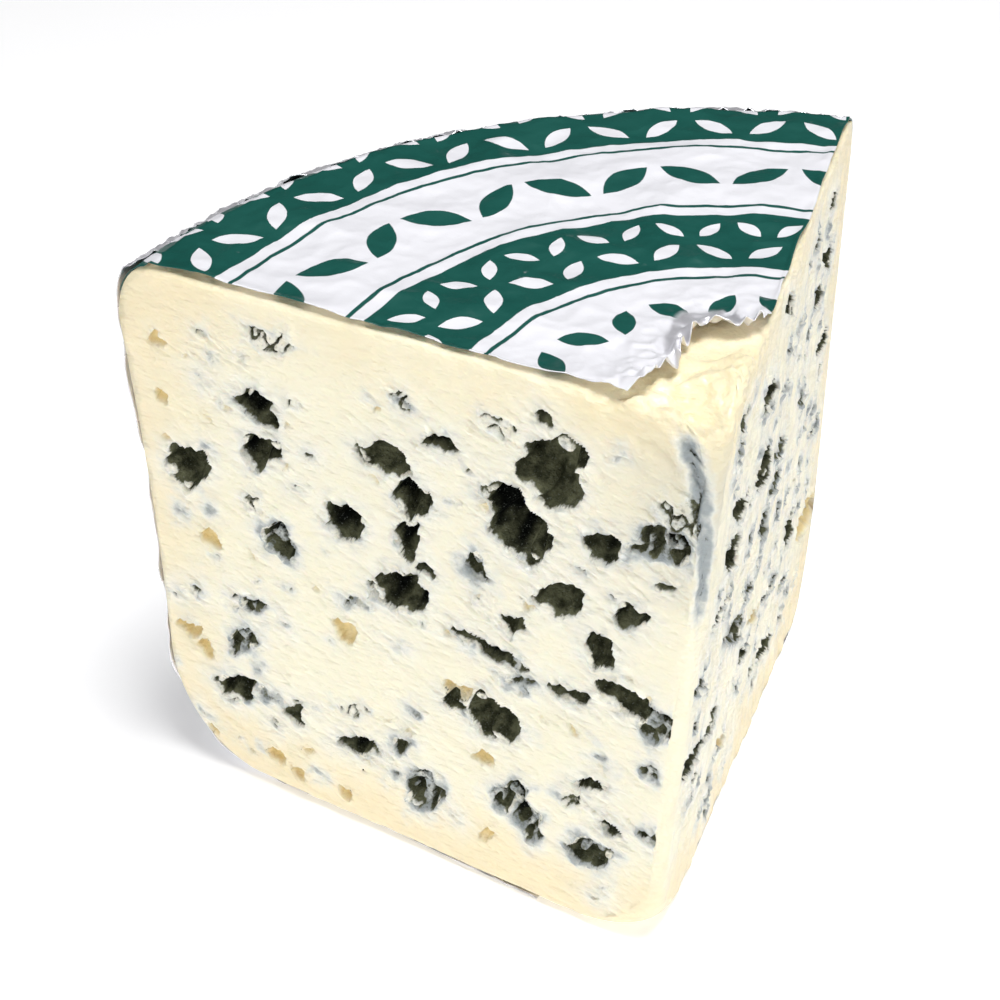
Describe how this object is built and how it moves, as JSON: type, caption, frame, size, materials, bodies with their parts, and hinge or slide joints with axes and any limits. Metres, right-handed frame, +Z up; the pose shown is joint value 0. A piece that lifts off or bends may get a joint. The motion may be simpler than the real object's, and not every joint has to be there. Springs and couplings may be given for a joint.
{
  "type": "blue cheese wedge",
  "caption": "Wedge of blue cheese cut from a round wheel, its cut faces pitted with mould-filled hollows, with printed foil on the top and plain foil round the rind and base.",
  "frame": {"origin": "Middle of the part's box on the floor", "axes": "+Z up; -Y towards the wedge's point; +X across the rind, the longest way"},
  "size_m": [0.124, 0.0966, 0.0931],
  "materials": {
    "paste": "moist crumbly ivory cheese paste with blue-green mould",
    "printed_foil": "thin foil printed dark green with white bands",
    "plain_foil": "plain crinkled silver foil"
  },
  "bodies": {
    "root": {"cheese": "paste", "top_foil": "printed_foil", "side_foil": "plain_foil"}
  },
  "joints": []
}
